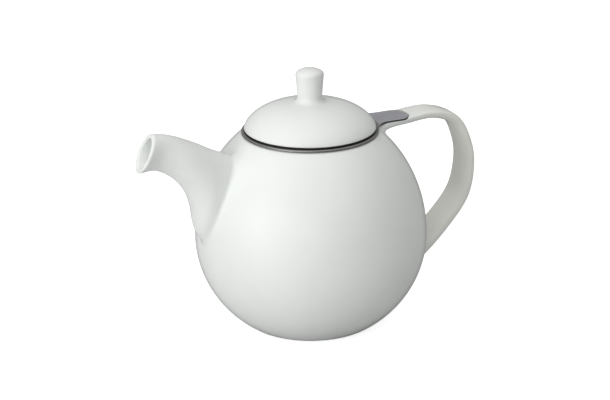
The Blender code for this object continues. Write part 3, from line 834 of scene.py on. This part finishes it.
def brushed_steel(name, tone, rim=False):
    """Brushed steel: fine streaks round the turned parts. The rim's tongue is brushed along
    its length and is painted brighter and cooler, a painted reflection. A painted shadow darkens
    the rim where the lid's edge overhangs it, and painted shade darkens its upright edges."""
    n = Nodes(name)
    place = n.add("ShaderNodeTexCoord").outputs["Object"]
    split = n.add("ShaderNodeSeparateXYZ")
    n.value(split, Vector=place)
    x, y, z = (split.outputs[axis] for axis in "XYZ")
    radius = n.math("SQRT", n.math("ADD", n.math("MULTIPLY", x, x), n.math("MULTIPLY", y, y)))
    angle = n.math("ARCTAN2", y, x)
    ring = n.add("ShaderNodeCombineXYZ")
    n.value(ring, X=n.math("MULTIPLY", radius, 4200.0), Y=n.math("MULTIPLY", angle, 3.0),
            Z=n.math("MULTIPLY", z, 4200.0))
    streaks = n.noise(ring.outputs[0], 1.0, 3.0)
    if rim:
        strip = n.add("ShaderNodeCombineXYZ")
        n.value(strip, X=n.math("MULTIPLY", x, 120.0), Y=n.math("MULTIPLY", y, 3600.0),
                Z=n.math("MULTIPLY", z, 1200.0))
        on_tongue = n.map_range(radius, (RIM_RADIUS - 0.6) * METRES,
                                (RIM_RADIUS + 0.8) * METRES, 0.0, 1.0)
        blend = n.add("ShaderNodeMix", data_type="FLOAT")
        n.link(on_tongue, blend.inputs[0])
        n.link(streaks, blend.inputs[2])
        n.link(n.noise(strip.outputs[0], 1.0, 3.0), blend.inputs[3])
        streaks = blend.outputs[0]
        # Painted shadow: the rim is darkened where the lid's edge overhangs it.
        lid_shadow = n.map_range(radius, (LID_RADIUS - 0.4) * METRES,
                              (LID_RADIUS + 0.5) * METRES, 1.0, 0.0)
    cloud = n.noise(place, 90.0, 2.0)
    shade = n.math("ADD", n.math("MULTIPLY", streaks, 0.7), n.math("MULTIPLY", cloud, 0.3))
    amount = n.map_range(shade, 0.35, 0.65, 0.0, 1.0)
    colour = n.mix(amount, grey(tone * 0.88, STEEL_WARM), grey(tone * 1.10, STEEL_WARM))
    if rim:
        # Painted reflection: the tongue is painted brighter and cooler than the rest of the rim.
        tongue_reflection_colour = n.mix(amount, grey(tone * 1.44, STEEL_COOL), grey(tone * 1.76, STEEL_COOL))
        colour = n.mix(on_tongue, colour, tongue_reflection_colour)
        colour = n.mix(lid_shadow, colour, grey(LID_SHADOW_STEEL, STEEL_WARM))
        # Painted shade on upright edges, strongest on the tongue.
        facing = n.add("ShaderNodeSeparateXYZ")
        n.value(facing, Vector=n.add("ShaderNodeNewGeometry").outputs["Normal"])
        strength = n.map_range(on_tongue, 0.0, 1.0, 0.35, 1.0)
        upright = n.map_range(facing.outputs["Z"], 0.25, 0.80, 1.0, 0.0)
        edge_shade = n.math("MULTIPLY", upright, strength)
        colour = n.mix(edge_shade, colour, grey(EDGE_SHADE_STEEL, STEEL_WARM))
    n.value(n.shader, Base_Color=colour, Metallic=1.0,
            Roughness=n.map_range(streaks, 0.3, 0.7, 0.44, 0.56),
            Normal=n.bump(streaks, 0.12, 0.00005))
    return n.material


# ------------------------------------------------------------------ pieces of the object


def give(obj, body, nodes, material):
    """Finish a piece: its material, the body it rides on and the CAD nodes it stands for."""
    obj.data.materials.append(material)
    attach(obj, body)
    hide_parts(*nodes)


def make_pot():
    """Body, spout and handle, on a grid that is finest where the tongue lies."""
    coarse = 1.0
    middle = 0.7
    fine = 0.4
    xs = grid_line((-97.0, -78.0, middle), (-78.0, 34.0, coarse), (34.0, 60.0, fine),
                   (60.0, 96.0, middle))
    half = grid_line((0.0, 14.4, middle), (14.4, 63.0, coarse))
    ys = np.concatenate([-half[:0:-1], half])
    zs = grid_line((-1.5, 4.5, middle), (4.5, 92.0, coarse), (92.0, 102.0, middle),
                   (102.0, 106.4, fine), (106.4, 115.0, middle))
    pot = skin("pot_ceramic", pot_shape, xs, ys, zs)
    give(pot, "pot", ["pot_body", "spout", "handle"], glaze("pot_glaze", foot=True))


def make_lid():
    lid = turned("lid_ceramic", lid_outline(), LID_TURN_STEPS)
    give(lid, "lid", ["lid_dome", "lid_knob"], glaze("lid_glaze_look"))


def make_infuser():
    cell = 0.34
    thin = 0.2
    xs = grid_line((-36.2, 56.8, cell))
    ys = grid_line((-36.2, 36.2, cell))
    zs = grid_line((COLLAR_UNDER_Z - 0.5, TONGUE_TOP_Z + 0.5, thin))
    rim = skin("infuser_rim_steel", rim_shape, xs, ys, zs, rounds=2)
    rim_look = brushed_steel("rim_look", RIM_STEEL, rim=True)
    give(rim, "infuser", ["infuser_rim"], rim_look)
    sleeve = perforated_sleeve("infuser_sleeve_steel")
    sleeve_look = brushed_steel("sleeve_look", BASKET_STEEL)
    give(sleeve, "infuser", ["infuser_sleeve"], sleeve_look)
    reach = FLOOR_DISC_RADIUS + 0.8
    line = grid_line((-reach, reach, cell))
    rise = grid_line((FLOOR_DISC_Z - 0.4, FLOOR_DISC_TOP_Z + 0.4, thin))
    floor = skin("infuser_floor_steel", floor_shape, line, line, rise, rounds=1)
    floor_look = brushed_steel("floor_look", BASKET_STEEL)
    give(floor, "infuser", ["infuser_floor"], floor_look)


# ------------------------------------------------------------------ stage, light and camera

FLOOR_SIZE = 3.0
FLOOR_LOW = (0.55, 0.55, 0.55, 1.0)
FLOOR_HIGH = (0.57, 0.57, 0.57, 1.0)
FLOOR_GLOW = 0.82
WHITE = (1.0, 1.0, 1.0, 1.0)
ROOM_COLOUR = (1.0, 1.0, 0.99, 1.0)
ROOM_LIGHT = 0.09
CEILING_LIGHT = 1.28
BACKGROUND_GLOW = 1.05
LIGHT_DISTANCE = 1.2
LIGHT_SIZE = 0.8
LIGHT_AIM = Vector((0.0, 0.0, 0.05))
CAMERA_AZIMUTH = math.radians(-25.0)
CAMERA_ELEVATION = math.radians(20.3)
CAMERA_ROLL = math.radians(-0.5)
CAMERA_DISTANCE = 0.9
CAMERA_AIM = Vector((-3.0, 0.0, 65.5)) * METRES
CAMERA_SENSOR = 36.0
CAMERA_LENS = 103.04
CAMERA_SHIFT = -0.0005


def make_floor():
    """A plain pale floor with a white glow that only the camera sees."""
    size = FLOOR_SIZE
    mesh = bpy.data.meshes.new("floor")
    corners = [(-size, -size, 0), (size, -size, 0), (size, size, 0), (-size, size, 0)]
    mesh.from_pydata(corners, [], [(0, 1, 2, 3)])
    floor = bpy.data.objects.new("floor", mesh)
    bpy.context.scene.collection.objects.link(floor)
    n = Nodes("floor_white")
    place = n.add("ShaderNodeTexCoord").outputs["Object"]
    tone = n.mix(n.noise(place, 6.0), FLOOR_LOW, FLOOR_HIGH)
    seen = n.add("ShaderNodeLightPath").outputs["Is Camera Ray"]
    n.value(n.shader, Base_Color=tone, Roughness=0.9, Emission_Color=WHITE,
            Emission_Strength=n.math("MULTIPLY", seen, FLOOR_GLOW))
    mesh.materials.append(n.material)


def make_world():
    """White to the camera; for light, a dim room with a bright soft ceiling."""
    world = bpy.data.worlds.new("studio")
    bpy.context.scene.world = world
    world.use_nodes = True
    tree = world.node_tree
    tree.nodes.clear()

    def math_node(operation, a, b):
        node = tree.nodes.new("ShaderNodeMath")
        node.operation = operation
        tree.links.new(a, node.inputs[0])
        node.inputs[1].default_value = b
        return node.outputs[0]

    place = tree.nodes.new("ShaderNodeTexCoord")
    split = tree.nodes.new("ShaderNodeSeparateXYZ")
    tree.links.new(place.outputs["Generated"], split.inputs[0])
    height = math_node("MAXIMUM", split.outputs["Z"], 0.0)
    ceiling = math_node("MULTIPLY", math_node("POWER", height, 2.0), CEILING_LIGHT)
    room = tree.nodes.new("ShaderNodeBackground")
    room.inputs["Color"].default_value = ROOM_COLOUR
    tree.links.new(math_node("ADD", ceiling, ROOM_LIGHT), room.inputs["Strength"])
    white = tree.nodes.new("ShaderNodeBackground")
    white.inputs["Color"].default_value = WHITE
    white.inputs["Strength"].default_value = BACKGROUND_GLOW
    path = tree.nodes.new("ShaderNodeLightPath")
    choose = tree.nodes.new("ShaderNodeMixShader")
    tree.links.new(path.outputs["Is Camera Ray"], choose.inputs[0])
    tree.links.new(room.outputs[0], choose.inputs[1])
    tree.links.new(white.outputs[0], choose.inputs[2])
    output = tree.nodes.new("ShaderNodeOutputWorld")
    tree.links.new(choose.outputs[0], output.inputs["Surface"])


def make_light(name, azimuth, elevation, watts, in_reflections=True):
    """A square soft light aimed at the pot, its place given in degrees. Azimuth 0 is in
    front of the pot, 90 on its right."""
    lamp = bpy.data.lights.new(name, "AREA")
    lamp.shape = "SQUARE"
    lamp.size = LIGHT_SIZE
    lamp.energy = watts
    obj = bpy.data.objects.new(name, lamp)
    obj.visible_glossy = in_reflections
    bpy.context.scene.collection.objects.link(obj)
    around = math.radians(azimuth)
    above = math.radians(elevation)
    outward = Vector((math.sin(around) * math.cos(above), -math.cos(around) * math.cos(above),
                      math.sin(above)))
    obj.location = outward * LIGHT_DISTANCE + LIGHT_AIM
    obj.rotation_euler = (-outward).to_track_quat("-Z", "Y").to_euler()


def make_camera():
    """Camera 25 degrees round towards the spout and 20 degrees above the table."""
    level = math.cos(CAMERA_ELEVATION)
    back = Vector((math.sin(CAMERA_AZIMUTH) * level, -math.cos(CAMERA_AZIMUTH) * level,
                   math.sin(CAMERA_ELEVATION)))
    flat_right = Vector((math.cos(CAMERA_AZIMUTH), math.sin(CAMERA_AZIMUTH), 0.0))
    flat_up = back.cross(flat_right)
    right = flat_right * math.cos(CAMERA_ROLL) + flat_up * math.sin(CAMERA_ROLL)
    up = flat_up * math.cos(CAMERA_ROLL) - flat_right * math.sin(CAMERA_ROLL)
    data = bpy.data.cameras.new("camera")
    data.sensor_width = CAMERA_SENSOR
    data.lens = CAMERA_LENS
    data.shift_x = CAMERA_SHIFT
    camera = bpy.data.objects.new("camera", data)
    bpy.context.scene.collection.objects.link(camera)
    turn = Matrix((right, up, back)).transposed().to_4x4()
    camera.matrix_world = Matrix.Translation(CAMERA_AIM + back * CAMERA_DISTANCE) @ turn
    bpy.context.scene.camera = camera


def make_stage():
    """The key light comes from the spout's side. The back light stays out of reflections,
    since it would burn out on the steel tongue."""
    make_floor()
    make_world()
    make_light("key", azimuth=-72, elevation=8, watts=8.9)
    make_light("high_left", azimuth=-55, elevation=50, watts=1.0)
    make_light("front", azimuth=-18, elevation=20, watts=1.5)
    make_light("back", azimuth=180, elevation=8, watts=1.6, in_reflections=False)
    bpy.context.scene.view_settings.view_transform = "Standard"


make_pot()
make_lid()
make_infuser()
make_camera()
make_stage()
